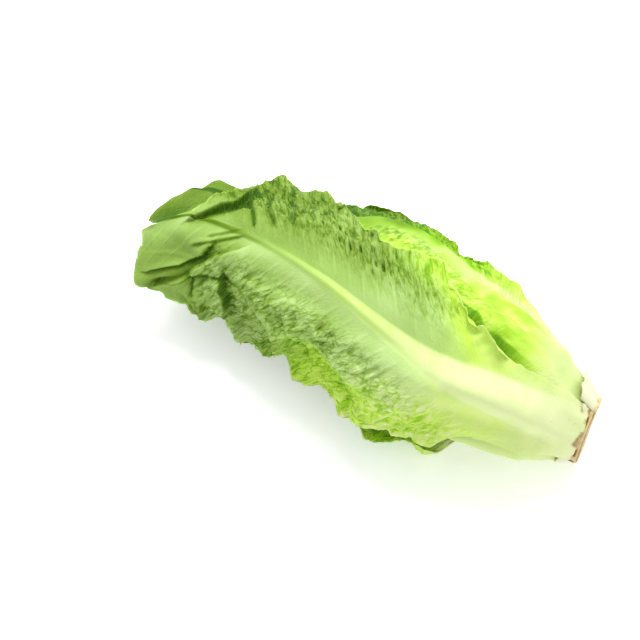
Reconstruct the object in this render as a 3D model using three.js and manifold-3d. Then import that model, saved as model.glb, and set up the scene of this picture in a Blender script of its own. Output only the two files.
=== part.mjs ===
// A head of romaine lettuce lying on its side: a short cut stem with the stubs of trimmed leaves, ten free
// leaves set round it in a spiral, and a dense heart. Millimetres, +Z up. The head lies along X with its cut
// stem at +X, and rests at Z = 0.
//
// Every leaf is a thin solid described over the same two coordinates: s, the distance from the cut face
// along the head, and phi, the angle round its axis (0 = +Y, 90 = up). A leaf's radius is the sum of what
// lies under it there, so each leaf drapes over the ones inside it and never cuts through them.
import * as THREE from "three";
import { mergeVertices } from "three/addons/utils/BufferGeometryUtils.js";
import Module from "manifold-3d";

// ---------------------------------------------------------------- driving dimensions
const HEAD_LENGTH = 290; // cut face to the furthest leaf tip
const CUT_RADIUS = 20.8; // the cut stem, with the scars of the leaves trimmed off it
const COLLAR_LENGTH = 5.6; // how far the scarred collar runs up from the cut face
const STEM_LENGTH = 66; // cut face to the growing point inside the head
const HEART_BOTTOM = STEM_LENGTH + 0.4;
const HEART_TOP = 208;
const BLADE = 1.3; // a leaf blade, measured along the radius
const TOUCHING_GAP = 0.4; // between a leaf's base and the stem it grows from
const DIVERGENCE = 137.5; // degrees from one leaf to the next up the stem
const FIRST_ANGLE = 118;
const FREE_LEAVES = 10; // leaves that grow from the stem
const HEART_LEAVES = 4; // small ones that stand out of the heart
const BASE_STEP = 5; // how much further up the stem each inner leaf grows
const FIRST_HEART_LEAF = 82;
const DRAPE = 25; // degrees past a leaf's edge over which the next one comes down to the layer below
const TIP_DRAPE = 26; // and how far past its tip
const COVER_MARGIN = 3; // degrees past a leaf's edge that the next one stays clear of it
const THICK_BASE = 0.7; // how much thicker a blade is at its base
const THICK_RUN = 70; // how far along the leaf that wears off
const LONG_WAVE = 41; // the two waves of a leaf's free edge
const SHORT_WAVE = 23;
const WAVE_LEAN = 26; // how far towards the base the waves reach the edge before the rib
const MOST_SETTLED = 0.5; // how far the layers settle into each other where more of them overlap
const PACKED_RIB = 0.3; // how much of its rib a leaf of the heart has
const CUT_CHAMFER = 1.2; // how much narrower the cut face is than the collar

const RAD = Math.PI / 180;
const lerp = (a, b, t) => a + (b - a) * t;
const clamp = (value, low, high) => Math.min(high, Math.max(low, value));
const smooth = (t) => clamp(t, 0, 1) ** 2 * (3 - 2 * clamp(t, 0, 1));

// A smooth curve through (position, value) pairs, flat past its ends.
function curve(points) {
  const n = points.length;
  const slope = points.map((_, i) => {
    const [x0, y0] = points[Math.max(0, i - 1)];
    const [x1, y1] = points[Math.min(n - 1, i + 1)];
    return i === 0 || i === n - 1 ? 0 : (y1 - y0) / (x1 - x0);
  });
  return (x) => {
    if (x <= points[0][0]) return points[0][1];
    if (x >= points[n - 1][0]) return points[n - 1][1];
    const i = points.findIndex(([px]) => px > x) - 1;
    const [x0, y0] = points[i];
    const [x1, y1] = points[i + 1];
    const w = x1 - x0;
    const t = (x - x0) / w;
    return lerp(y0, y1, smooth(t)) + w * t * (1 - t) * ((1 - t) * slope[i] - t * slope[i + 1]);
  };
}

// ---------------------------------------------------------------- the head's shape along its length
// The radius that the outermost leaves come to, before their own ribs and frills.
const outerRadius = curve([
  [0, 20], [10, 25], [20, 31], [30, 36.5], [45, 42.5], [60, 47.5], [75, 51.5], [90, 54.5], [110, 58],
  [130, 59.5], [150, 57.5], [170, 55], [190, 52.5], [210, 50], [230, 46.5], [250, 43], [265, 40.5],
  [280, 33], [HEAD_LENGTH, 22],
]);
// Lying down has flattened the head: its section is wider than a circle and less tall.
const sectionWide = curve([[0, 1], [40, 1.02], [110, 1.06], [HEAD_LENGTH, 1.04]]);
const sectionTall = curve([[0, 1], [30, 0.97], [90, 0.88], [200, 0.84], [HEAD_LENGTH, 0.74]]);
// The axis: how high it runs, and how far it bows sideways.
const axisHeight = curve([
  [0, 24.5], [30, 38], [60, 45.7], [75, 45.8], [90, 45], [110, 45.2], [130, 45.7], [150, 44.6], [170, 43.3],
  [210, 41.4], [250, 40], [HEAD_LENGTH, 38],
]);
const axisSide = curve([
  [0, 0], [30, -1.5], [60, 1], [90, 2], [130, 9], [170, 15.5], [225, 20], [260, 19], [HEAD_LENGTH, 8],
]);
// The air between one layer of leaves and the next.
const layerGap = curve([
  [6, TOUCHING_GAP], [30, 1.6], [60, 2.5], [110, 3.4], [160, 3.4], [210, 3.4], [250, 3], [HEAD_LENGTH, 1.6],
]);

// ---------------------------------------------------------------- one leaf's own measures
// The midrib: how far it stands out and half its width, by the distance from the leaf's base.
const ribHeight = curve([
  [0, 0.8], [10, 3], [25, 5.6], [50, 6], [90, 4.4], [140, 2.6], [200, 1.5], [270, 0.5],
]);
const ribHalfWidth = curve([[0, 15], [50, 11.5], [100, 6.5], [160, 3.8], [270, 1.8]]);

// Half of a leaf's angle, by s, for a leaf that opens to a spread of its own.
const opening = (spread, nearTip = 0.66) =>
  curve([
    [6, 45], [30, 47], [80, lerp(47, spread, 0.55)], [140, spread], [230, spread], [280, nearTip * spread],
  ]);
const roundedEnd = (tip, drop) => (v) => tip - drop * Math.abs(v) ** 2.3;

// From the outside in. rib is the midrib's angle by s, edges are half angles for its two sides (the lower
// phi first), end is how far it reaches for v from -1 to 1 across it, flare and frill are for its free edge.
const frontLeaf = {
  base: COLLAR_LENGTH + 0.8,
  rib: curve([[6, 127], [60, 128], [90, 123], [130, 117], [170, 109], [210, 102], [250, 98]]),
  edges: [
    curve([
      [6, 40], [30, 36], [70, 39], [88, 48], [105, 54], [125, 52], [145, 48], [162, 58], [182, 70], [206, 83],
      [240, 78],
    ]),
    curve([[6, 45], [30, 44], [70, 50], [90, 80], [108, 90], [150, 92], [200, 97], [240, 97], [290, 92]]),
  ],
  end: curve([
    [-1, 232], [-0.6, 246], [-0.2, 260], [0, 264], [0.14, 281], [0.35, 287], [0.6, 287], [0.85, 277],
    [1, 262],
  ]),
  flare: [2, 6],
  frill: 5,
};

// The third leaf bows away from the front one, and its tip has slumped back towards it.
const bowedRib = curve([[14, 56], [60, 51], [95, 38], [130, 33], [180, 36], [230, 47], [285, 52]]);
const bowedEdges = [
  curve([[6, 43], [40, 40], [60, 31], [80, 25], [150, 25], [175, 33], [215, 56], [285, 52]]),
  opening(62, 0.86),
];
const lopsidedEnd = curve([
  [-1, 243], [-0.5, 256], [-0.2, 263], [0.1, 275], [0.4, 285.5], [0.65, 288], [0.85, 283], [1, 272],
]);

// The next leaves in, by number.
const SPIRAL = [
  { nudge: 15, drift: 3, tip: 280, spread: [62, 64], flare: [4, 4], frill: 4, drop: 50 },
  { rib: bowedRib, edges: bowedEdges, end: lopsidedEnd, flare: [6, 2], frill: 4 },
  { nudge: 17, drift: 5, tip: 280, spread: [64, 66], flare: [2, 5], frill: 4, drop: 50 },
  { nudge: 15, drift: -4, tip: 278, spread: [66, 66], flare: [3, 3], frill: 3, drop: 52 },
];

function spiralLeaf(k) {
  const own = SPIRAL[k - 1] ?? {
    nudge: 6 * Math.sin(2.1 * k),
    drift: 4 * Math.cos(1.7 * k),
    tip: lerp(276, 248, (k - 5) / (FREE_LEAVES - 5)),
    spread: [63, 63],
    flare: [1, 1],
    frill: 1.5,
    drop: 48,
  };
  const base = COLLAR_LENGTH + 0.8 + (BASE_STEP * k * k) / (k + 3); // the outer ones crowd by the cut
  const angle = FIRST_ANGLE + DIVERGENCE * k + (own.nudge ?? 0);
  return {
    base,
    rib: own.rib ?? ((s) => angle + own.drift * smooth((s - base) / (own.tip - base))),
    edges: own.edges ?? own.spread.map((spread) => opening(spread)),
    end: own.end ?? roundedEnd(own.tip, own.drop),
    flare: own.flare,
    frill: own.frill,
  };
}

function heartLeaf(j) {
  const base = FIRST_HEART_LEAF + BASE_STEP * j;
  const angle = FIRST_ANGLE + DIVERGENCE * (FREE_LEAVES + j);
  return {
    base,
    rib: () => angle,
    edges: [50, 50].map((spread) => () => spread),
    end: roundedEnd(238 - 7 * j, 40),
    flare: [0, 0],
    frill: 0.6,
    root: 5, // how far its base dips into the heart
    rootLength: 16,
  };
}

// What is left of a leaf trimmed off the stem: a short torn flap that stands out of the collar.
function stub({ angle, tip, half, lift }) {
  return {
    base: 1.6,
    rib: () => angle,
    edges: [half, half].map((side) => () => side),
    end: roundedEnd(tip, 3),
    flare: [0, 0],
    frill: 0,
    root: 6.5,
    rootLength: 4.4,
    lift, // how far its tip is bent away from the head
  };
}
const STUBS = [
  { angle: 24, tip: 15, half: 6, lift: 1.5 },
  { angle: 92, tip: 9.5, half: 9, lift: 0.4 },
  { angle: 196, tip: 12, half: 17, lift: 0 },
];

const LEAVES = [
  ...STUBS.map(stub),
  frontLeaf,
  ...Array.from({ length: FREE_LEAVES - 1 }, (_, i) => spiralLeaf(i + 1)),
  ...Array.from({ length: HEART_LEAVES }, (_, j) => heartLeaf(j)),
].map((leaf, k) => ({ ...leaf, k, phase: 2.4 * (k - STUBS.length) }));

const turnFrom = (angle) => ((((angle + 180) % 360) + 360) % 360) - 180;

function thickness(leaf, s, turned) {
  const along = s - leaf.base;
  const blade = BLADE + THICK_BASE * (1 - smooth(along / THICK_RUN));
  const rib = leaf.root ? PACKED_RIB : 1;
  const radius = outerRadius(s) * (1 - (0.5 * leaf.k) / LEAVES.length);
  const across = (Math.abs(turned) * RAD * radius) / ribHalfWidth(along);
  return blade + rib * ribHeight(along) * Math.cos((Math.PI / 2) * clamp(across, 0, 1)) ** 2;
}

// How strongly a point belongs to the leaf's free edge, from 0 to 1.
function edgeWeight(leaf, s, v) {
  const side = smooth((Math.abs(v) - 0.35) / 0.65) * smooth((s - 40) / 60);
  const top = smooth((s - leaf.end(v) + 28) / 28);
  return 1 - (1 - side) * (1 - top);
}
function flareOf(leaf, s, v) {
  const flare = leaf.flare[v < 0 ? 0 : 1] * smooth(Math.abs(v));
  return flare * smooth((s - 40) / 80) * (1 - 0.5 * smooth((s - 230) / 50));
}

// The waves of the free edge only push outwards, so they stay off the leaf below.
function frillOf(leaf, s, v) {
  const run = s - WAVE_LEAN * Math.abs(v);
  const side = v < 0 ? 1.9 : 0;
  const long = Math.sin((2 * Math.PI * run) / LONG_WAVE + leaf.phase + side);
  const short = Math.sin((2 * Math.PI * run) / SHORT_WAVE + 1.7 * leaf.phase - side);
  return leaf.frill * edgeWeight(leaf, s, v) * (0.5 + 0.32 * long + 0.18 * short);
}

// What one leaf adds to the radius of every leaf outside it.
function coverOf(leaf, s, phi) {
  const turned = turnFrom(phi - leaf.rib(s));
  const half = leaf.edges[turned < 0 ? 0 : 1](s);
  const v = clamp(turned / half, -1, 1);
  const beside = 1 - smooth((Math.abs(turned) - half - COVER_MARGIN) / DRAPE);
  const above = 1 - smooth((s - leaf.end(v) - 5) / TIP_DRAPE);
  const below = smooth((s - leaf.base + 12) / 10);
  const standing = flareOf(leaf, s, v) + leaf.frill * edgeWeight(leaf, s, v);
  const depth = thickness(leaf, s, turned) + layerGap(s) + standing;
  return beside * above * below * depth;
}

// The depth of the leaves from number k inwards.
const depthFrom = (k, s, phi) => LEAVES.slice(k).reduce((sum, leaf) => sum + coverOf(leaf, s, phi), 0);

// The mean depth of leaves at s, all round the head.
const STATION_STEP = 4;
const ROUND = Array.from({ length: 36 }, (_, i) => 10 * i);
const meanDepths = Array.from({ length: Math.ceil(HEAD_LENGTH / STATION_STEP) + 2 }, (_, i) => {
  return ROUND.reduce((sum, phi) => sum + depthFrom(STUBS.length, i * STATION_STEP, phi), 0) / ROUND.length;
});
function meanDepth(s) {
  const at = s / STATION_STEP;
  return lerp(meanDepths[Math.floor(at)], meanDepths[Math.floor(at) + 1], at % 1);
}

// What the innermost leaf lies on: the outside, less the leaves. Where more of them overlap, the leaves
// there have settled half of the way in.
function innerRadius(s, phi) {
  const settled = MOST_SETTLED * smooth((s - 60) / 50);
  return outerRadius(s) - lerp(meanDepth(s), depthFrom(STUBS.length, s, phi), settled);
}
const stemRadius = (s, phi) => {
  if (s <= COLLAR_LENGTH) return s < 1 ? CUT_RADIUS - CUT_CHAMFER : CUT_RADIUS;
  return (innerRadius(s, phi) - TOUCHING_GAP) * (1 - 0.75 * smooth((s - 52) / (STEM_LENGTH - 52)));
};
const heartRadius = (s, phi) => {
  const foot = lerp(0.25, 1, smooth((s - HEART_BOTTOM) / 18));
  const top = lerp(1, 0.25, smooth((s - 165) / (HEART_TOP - 165)));
  return (innerRadius(s, phi) - 1.2) * foot * top;
};

const headPoint = (s, radius, phi) =>
  new THREE.Vector3(
    HEAD_LENGTH / 2 - s,
    axisSide(s) + sectionWide(s) * radius * Math.cos(phi * RAD),
    axisHeight(s) + sectionTall(s) * radius * Math.sin(phi * RAD),
  );

// A point of the leaf's inner (layer 0) or outer (layer 1) face, for u from base to end and v across.
function leafPoint(leaf, u, v, layer) {
  const s = lerp(leaf.base, leaf.end(v), u);
  const turned = v * leaf.edges[v < 0 ? 0 : 1](s);
  const phi = leaf.rib(s) + turned;
  const own = flareOf(leaf, s, v) + frillOf(leaf, s, v);
  const dip = leaf.root ? leaf.root * (1 - smooth((s - leaf.base) / leaf.rootLength)) : 0;
  const bent = leaf.lift ? leaf.lift * smooth((s - COLLAR_LENGTH) / 10) : 0;
  const lying = innerRadius(s, phi) + depthFrom(leaf.k + 1, s, phi);
  const radius = lying + own + bent - dip + layer * thickness(leaf, s, turned);
  const point = headPoint(s, radius, phi);
  point.z = Math.max(point.z, layer === 1 ? 0 : BLADE);
  return point;
}

// ---------------------------------------------------------------- meshes
// A closed thin solid from two faces over one grid, both split into triangles alike.
function sheetGeometry(rows, columns, pointAt) {
  const position = [];
  for (const layer of [0, 1])
    for (const u of rows) for (const v of columns) position.push(...pointAt(u, v, layer).toArray());
  const wide = columns.length;
  const face = rows.length * wide;
  const at = (i, j, layer) => layer * face + i * wide + j;
  const index = [];
  const quad = (a, b, c, d) => index.push(a, b, c, a, c, d);
  for (let i = 0; i + 1 < rows.length; i++)
    for (let j = 0; j + 1 < wide; j++) {
      quad(at(i, j, 1), at(i + 1, j, 1), at(i + 1, j + 1, 1), at(i, j + 1, 1));
      index.push(at(i, j, 0), at(i + 1, j + 1, 0), at(i + 1, j, 0));
      index.push(at(i, j, 0), at(i, j + 1, 0), at(i + 1, j + 1, 0));
    }
  const last = rows.length - 1;
  for (let j = 0; j + 1 < wide; j++) {
    quad(at(0, j, 0), at(0, j, 1), at(0, j + 1, 1), at(0, j + 1, 0));
    quad(at(last, j + 1, 0), at(last, j + 1, 1), at(last, j, 1), at(last, j, 0));
  }
  for (let i = 0; i < last; i++) {
    quad(at(i + 1, 0, 0), at(i + 1, 0, 1), at(i, 0, 1), at(i, 0, 0));
    quad(at(i, wide - 1, 0), at(i, wide - 1, 1), at(i + 1, wide - 1, 1), at(i + 1, wide - 1, 0));
  }
  return indexed(position, index);
}

function indexed(position, index) {
  return new THREE.BufferGeometry()
    .setAttribute("position", new THREE.BufferAttribute(new Float32Array(position), 3))
    .setIndex(index);
}

// A closed solid from rings round the head's axis, with its two ends capped.
function ringedGeometry(stations, sides, radiusAt) {
  const position = [];
  for (const s of stations)
    for (let i = 0; i < sides; i++) {
      const phi = (360 * i) / sides;
      position.push(...headPoint(s, radiusAt(s, phi), phi).toArray());
    }
  const first = stations[0];
  const last = stations[stations.length - 1];
  position.push(...headPoint(first, 0, 0).toArray(), ...headPoint(last, 0, 0).toArray());
  const foot = stations.length * sides;
  const index = [];
  for (let k = 0; k + 1 < stations.length; k++)
    for (let i = 0; i < sides; i++) {
      const j = (i + 1) % sides;
      const [a, b, c, d] = [k * sides + i, k * sides + j, (k + 1) * sides + j, (k + 1) * sides + i];
      index.push(a, c, b, a, d, c);
    }
  for (let i = 0; i < sides; i++) {
    const j = (i + 1) % sides;
    index.push(foot, i, j, foot + 1, foot - sides + j, foot - sides + i);
  }
  return indexed(position, index);
}

const wasm = await Module();
wasm.setup();

// Several closed geometries fused into one.
function fused(geometries) {
  const solids = geometries.map((geometry) => {
    const welded = mergeVertices(geometry);
    const vertProperties = new Float32Array(welded.attributes.position.array);
    const triVerts = new Uint32Array(welded.index.array);
    return new wasm.Manifold(new wasm.Mesh({ numProp: 3, vertProperties, triVerts }));
  });
  const mesh = solids.reduce((all, solid) => all.add(solid)).getMesh();
  return indexed(mesh.vertProperties, Array.from(mesh.triVerts));
}

const steps = (n) => Array.from({ length: n + 1 }, (_, i) => i / n);

// ---------------------------------------------------------------- the pieces
const OUTER_GREEN = new THREE.Color(0x93bd4e);
const INNER_GREEN = new THREE.Color(0xd0e488);
const HEART_GREEN = new THREE.Color(0xdcec98);
const STEM_CREAM = new THREE.Color(0xe8e0b0);
const LEAF_ROUGHNESS = 0.5;
const STEM_ROUGHNESS = 0.7;

const head = new THREE.Group();
function add(name, geometry, color, roughness) {
  const mesh = new THREE.Mesh(geometry, new THREE.MeshStandardMaterial({ color, roughness, metalness: 0 }));
  mesh.name = name;
  head.add(mesh);
}

const stemStations = [0, 1.5, COLLAR_LENGTH, 6.2, 14, 24, 34, 44, 52, 60, STEM_LENGTH];
const stemCore = ringedGeometry(stemStations, 28, stemRadius);

const FRONT_GRID = [steps(38), [-1, -0.84, -0.66, -0.48, -0.3, -0.13, 0, 0.13, 0.3, 0.48, 0.66, 0.84, 1]];
const OUTER_GRID = [steps(28), [-1, -0.82, -0.6, -0.36, -0.15, 0, 0.15, 0.36, 0.6, 0.82, 1]];
const INNER_GRID = [steps(24), [-1, -0.8, -0.6, -0.4, -0.2, 0, 0.2, 0.4, 0.6, 0.8, 1]];
const HEART_GRID = [steps(11), [-1, -0.66, -0.33, 0, 0.33, 0.66, 1]];
const STUB_GRID = [steps(6), [-1, -0.5, 0, 0.5, 1]];

const leafGeometry = (leaf, [rows, columns]) => {
  return sheetGeometry(rows, columns, (u, v, layer) => leafPoint(leaf, u, v, layer));
};

const stubs = LEAVES.slice(0, STUBS.length);
const free = LEAVES.slice(STUBS.length, STUBS.length + FREE_LEAVES);
const inHeart = LEAVES.slice(STUBS.length + FREE_LEAVES);

const stubGeometries = stubs.map((leaf) => leafGeometry(leaf, STUB_GRID));
add("stem", fused([stemCore, ...stubGeometries]), STEM_CREAM, STEM_ROUGHNESS);
free.forEach((leaf, i) => {
  const behind = i <= SPIRAL.length ? OUTER_GRID : INNER_GRID;
  const green = OUTER_GREEN.clone().lerp(INNER_GREEN, i / (FREE_LEAVES - 1));
  const name = `leaf_${String(i + 1).padStart(2, "0")}`;
  add(name, leafGeometry(leaf, i === 0 ? FRONT_GRID : behind), green, LEAF_ROUGHNESS);
});

const heartStations = [HEART_BOTTOM, 72, 80, 95, 110, 130, 150, 168, 184, 198, HEART_TOP];
const heartCore = ringedGeometry(heartStations, 18, heartRadius);
const heartGeometries = inHeart.map((leaf) => leafGeometry(leaf, HEART_GRID));
add("heart", fused([heartCore, ...heartGeometries]), HEART_GREEN, LEAF_ROUGHNESS);

// The origin is the middle of the head's footprint, on the surface it lies on.
const middle = new THREE.Box3().setFromObject(head).getCenter(new THREE.Vector3());
head.children.forEach((mesh) => mesh.geometry.translate(-middle.x, -middle.y, 0));

export default head;
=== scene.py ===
"""A head of romaine lettuce lying on its side on a pale floor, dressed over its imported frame.

The leaves are drawn over the same two coordinates as their solids: s, the distance in mm from the cut face
along the head, and phi, the angle in degrees round its axis (0 = +Y, 90 = up). A leaf's radius is the sum of
what lies under it, so the leaves drape over each other. Unless something else is said, lengths are in mm and
angles in degrees.
"""

import math
from types import SimpleNamespace

import bpy
import numpy as np
from mathutils import Matrix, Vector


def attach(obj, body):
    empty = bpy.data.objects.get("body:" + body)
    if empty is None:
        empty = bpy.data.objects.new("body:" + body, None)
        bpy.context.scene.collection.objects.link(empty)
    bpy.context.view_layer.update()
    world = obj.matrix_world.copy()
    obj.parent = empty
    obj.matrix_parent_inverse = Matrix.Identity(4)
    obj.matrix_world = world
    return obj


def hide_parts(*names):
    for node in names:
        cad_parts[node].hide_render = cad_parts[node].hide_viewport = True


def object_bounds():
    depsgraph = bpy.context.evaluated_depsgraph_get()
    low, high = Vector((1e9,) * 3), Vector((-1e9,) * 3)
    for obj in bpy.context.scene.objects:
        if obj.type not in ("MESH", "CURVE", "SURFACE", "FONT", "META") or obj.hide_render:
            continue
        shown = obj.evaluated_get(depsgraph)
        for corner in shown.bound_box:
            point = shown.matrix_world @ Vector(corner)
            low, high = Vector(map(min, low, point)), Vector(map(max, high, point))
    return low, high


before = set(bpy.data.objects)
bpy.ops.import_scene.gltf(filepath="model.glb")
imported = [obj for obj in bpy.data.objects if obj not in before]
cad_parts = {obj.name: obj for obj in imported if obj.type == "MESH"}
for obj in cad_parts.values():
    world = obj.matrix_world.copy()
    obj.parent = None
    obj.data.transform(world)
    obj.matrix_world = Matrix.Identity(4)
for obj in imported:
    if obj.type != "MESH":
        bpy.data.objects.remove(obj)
cad_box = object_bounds()

# -- the head's main sizes
HEAD_LENGTH = 290  # cut face to the furthest leaf tip
CUT_RADIUS = 20.8
COLLAR_LENGTH = 5.6  # of the collar of scars behind the cut face
STEM_LENGTH = 66  # cut face to the growing point inside the head
HEART_BOTTOM = STEM_LENGTH + 0.4
HEART_TOP = 208
HEART_GAP = 1.2  # between the heart and the leaf round it
BLADE = 1.3  # a leaf blade, measured along the radius
THICK_BASE = 0.7  # how much thicker it is at its base
THICK_RUN = 70  # how far along the leaf that wears off
PACKED_RIB = 0.3  # how much of its rib a leaf of the heart has
TOUCHING_GAP = 0.4  # between a leaf's base and the stem
DIVERGENCE = 137.5  # from one leaf to the next up the stem
FIRST_ANGLE = 118
FREE_LEAVES = 10  # leaves that grow from the stem
HEART_LEAVES = 4  # small ones that stand out of the heart
BASE_STEP = 5  # how much further up the stem each inner leaf grows
FIRST_BASE = COLLAR_LENGTH + 0.8
FIRST_HEART_LEAF = 82
DRAPE = 25  # degrees past a leaf's edge over which the next one comes down
TIP_DRAPE = 26  # and how far past its tip
COVER_MARGIN = 3  # degrees past a leaf's edge that the next one stays clear of it
EDGE_BLEND = 8  # degrees, and mm at the tip, over which a leaf stops hiding the one below
LONG_WAVE = 41  # the two waves of a leaf's free edge
SHORT_WAVE = 23
WAVE_LEAN = 26  # how far towards the base the waves reach the edge before the rib
SIDES_APART = 1.9  # radians between the waves of a leaf's two sides
MOST_SETTLED = 0.5  # how far the layers settle into each other where more overlap
RAD = math.pi / 180
MM = 0.001


def lerp(a, b, t):
    return a + (b - a) * t


def smooth(t):
    t = np.clip(t, 0, 1)
    return t * t * (3 - 2 * t)


def rise(place, start, run):
    """From 0 up to the start to 1 a run further on."""
    return smooth((place - start) / run)


def fall(place, start, run):
    return 1 - rise(place, start, run)


def curve(*points):
    """A smooth curve through (position, value) pairs, flat past its ends."""
    x, y = np.array(points, float).T
    slope = np.zeros(len(x))
    slope[1:-1] = (y[2:] - y[:-2]) / (x[2:] - x[:-2])

    def at(place):
        place = np.clip(place, x[0], x[-1])
        i = np.clip(np.searchsorted(x, place, side="right") - 1, 0, len(x) - 2)
        wide = x[i + 1] - x[i]
        t = (place - x[i]) / wide
        bend = wide * t * (1 - t) * ((1 - t) * slope[i] - t * slope[i + 1])
        return lerp(y[i], y[i + 1], smooth(t)) + bend

    return at


# -- the head's shape along its length
outer_radius = curve(
    (0, 20), (10, 25), (20, 31), (30, 36.5), (45, 42.5), (60, 47.5), (75, 51.5), (90, 54.5), (110, 58),
    (130, 59.5), (150, 57.5), (170, 55), (190, 52.5), (210, 50), (230, 46.5), (250, 43), (265, 40.5),
    (280, 33), (HEAD_LENGTH, 22),
)
section_wide = curve((0, 1), (40, 1.02), (110, 1.06), (HEAD_LENGTH, 1.04))
section_tall = curve((0, 1), (30, 0.97), (90, 0.88), (200, 0.84), (HEAD_LENGTH, 0.74))
axis_height = curve(
    (0, 24.5), (30, 38), (60, 45.7), (75, 45.8), (90, 45), (110, 45.2), (130, 45.7), (150, 44.6), (170, 43.3),
    (210, 41.4), (250, 40), (HEAD_LENGTH, 38),
)
axis_side = curve(
    (0, 0), (30, -1.5), (60, 1), (90, 2), (130, 9), (170, 15.5), (225, 20), (260, 19), (HEAD_LENGTH, 8),
)
layer_gap = curve(
    (6, TOUCHING_GAP), (30, 1.6), (60, 2.5), (110, 3.4), (160, 3.4), (210, 3.4), (250, 3), (HEAD_LENGTH, 1.6),
)
rib_height = curve((0, 0.8), (10, 3), (25, 5.6), (50, 6), (90, 4.4), (140, 2.6), (200, 1.5), (270, 0.5))
rib_half_width = curve((0, 15), (50, 11.5), (100, 6.5), (160, 3.8), (270, 1.8))


# -- the leaves, from the outside in
def opening(spread, near_tip=0.66):
    """Half of the angle, by s, of a leaf that opens to the given spread."""
    return curve(
        (6, 45), (30, 47), (80, lerp(47, spread, 0.55)), (140, spread), (230, spread),
        (280, near_tip * spread),
    )


def constant(value):
    return lambda place: value + 0.0 * place


def rounded_end(tip, drop):
    return lambda v: tip - drop * np.abs(v) ** 2.3


NOTHING_TORN = (constant(0), constant(0))


def leaf(**own):
    """A leaf's own measures: its midrib's angle by s, the half angles of its two sides, the lower phi first,
    how far it reaches for v from -1 to 1 across it, how its edge stands out, and how much of each side is torn
    off or, where negative, added."""
    plain = dict(flare=(0, 0), frill=0, root=0, root_length=1, lift=0, torn=NOTHING_TORN)
    return SimpleNamespace(**{**plain, **own})


front_leaf = leaf(
    base=FIRST_BASE,
    rib=curve((6, 127), (60, 128), (90, 123), (130, 117), (170, 109), (210, 102), (250, 98)),
    edges=(
        curve(
            (6, 40), (30, 36), (70, 39), (88, 48), (105, 54), (125, 52), (145, 48), (162, 58), (182, 70),
            (206, 83), (240, 78),
        ),
        curve((6, 45), (30, 44), (70, 50), (90, 80), (108, 90), (150, 92), (200, 97), (240, 97), (290, 92)),
    ),
    end=curve(
        (-1, 232), (-0.6, 246), (-0.2, 260), (0, 264), (0.14, 281), (0.35, 287), (0.6, 287), (0.85, 277),
        (1, 262),
    ),
    flare=(2, 6),
    frill=5,
    torn=(
        curve((18, 0), (28, 3), (45, 1.6), (60, 0.5), (78, 0)),
        curve((76, 0), (88, 10), (104, 16), (120, 14), (134, 6), (146, 0)),
    ),
)

# The third leaf bows away from the front one, and its tip has slumped back.
bowed_rib = curve((14, 56), (60, 51), (95, 38), (130, 33), (180, 36), (230, 47), (285, 52))
bowed_edges = (
    curve((6, 43), (40, 40), (60, 31), (80, 25), (150, 25), (175, 33), (215, 56), (285, 52)),
    opening(62, 0.86),
)
lopsided_end = curve(
    (-1, 243), (-0.5, 256), (-0.2, 263), (0.1, 275), (0.4, 285.5), (0.65, 288), (0.85, 283), (1, 272),
)
# The next leaves in, by number.
SPIRAL = [
    dict(
        nudge=15, drift=3, tip=280, spread=(62, 64), flare=(4, 4), frill=4, drop=50,
        torn=(curve((30, 0), (44, 14), (70, 16), (80, 0), (92, -8), (122, -8), (138, 0)), constant(0)),
    ),
    dict(rib=bowed_rib, edges=bowed_edges, end=lopsided_end, flare=(6, 2), frill=4),
    dict(nudge=17, drift=5, tip=280, spread=(64, 66), flare=(2, 5), frill=4, drop=50),
    dict(nudge=15, drift=-4, tip=278, spread=(66, 66), flare=(3, 3), frill=3, drop=52),
]


def inner_measures(k):
    return dict(
        nudge=6 * math.sin(2.1 * k), drift=4 * math.cos(1.7 * k), spread=(63, 63), flare=(1, 1), frill=1.5,
        tip=lerp(276, 248, (k - 5) / (FREE_LEAVES - 5)), drop=48,
    )


def spiral_leaf(k):
    own = SPIRAL[k - 1] if k <= len(SPIRAL) else inner_measures(k)
    base = FIRST_BASE + BASE_STEP * k * k / (k + 3)  # the outer ones crowd by the cut
    angle = FIRST_ANGLE + DIVERGENCE * k + own.get("nudge", 0)
    return leaf(
        base=base,
        rib=own.get("rib") or (lambda s: angle + own["drift"] * rise(s, base, own["tip"] - base)),
        edges=own.get("edges") or tuple(opening(side) for side in own["spread"]),
        end=own.get("end") or rounded_end(own["tip"], own["drop"]),
        flare=own["flare"], frill=own["frill"], torn=own.get("torn", NOTHING_TORN),
    )


def heart_leaf(j):
    return leaf(
        base=FIRST_HEART_LEAF + BASE_STEP * j, rib=constant(FIRST_ANGLE + DIVERGENCE * (FREE_LEAVES + j)),
        edges=(constant(50), constant(50)), end=rounded_end(238 - 7 * j, 40), frill=0.6, root=5,
        root_length=16,
    )


def stub(angle, base, tip, halves, lift, root):
    """What is left of a leaf trimmed off the stem. lift bends its tip outwards, and root is how deep its foot
    dips into the stem and how far up it that wears off."""
    return leaf(
        base=base, rib=constant(angle), edges=tuple(constant(half) for half in halves),
        end=rounded_end(tip, 3), root=root[0], root_length=root[1], lift=lift,
    )


STUBS = [
    stub(26, 0.6, 15, (22, 60), 1.4, (0.8, 9)),
    stub(92, 1.6, 9.5, (9, 9), 0.4, (5, 9)),
    stub(192, 1.2, 13, (30, 34), -2, (2.6, 22)),
]
FREE = [front_leaf] + [spiral_leaf(k) for k in range(1, FREE_LEAVES)]
IN_HEART = [heart_leaf(j) for j in range(HEART_LEAVES)]
LEAVES = STUBS + FREE + IN_HEART
for number, one in enumerate(LEAVES):
    one.k = number
    one.phase = 2.4 * (number - len(STUBS))


def turn_from(angle):
    return (angle + 180) % 360 - 180


def by_side(pair, v, *place):
    """The value of a leaf's first side where v is below 0, and of its second side elsewhere."""
    low, high = (one(*place) if place else one for one in pair)
    return np.where(v < 0, low, high)


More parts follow.
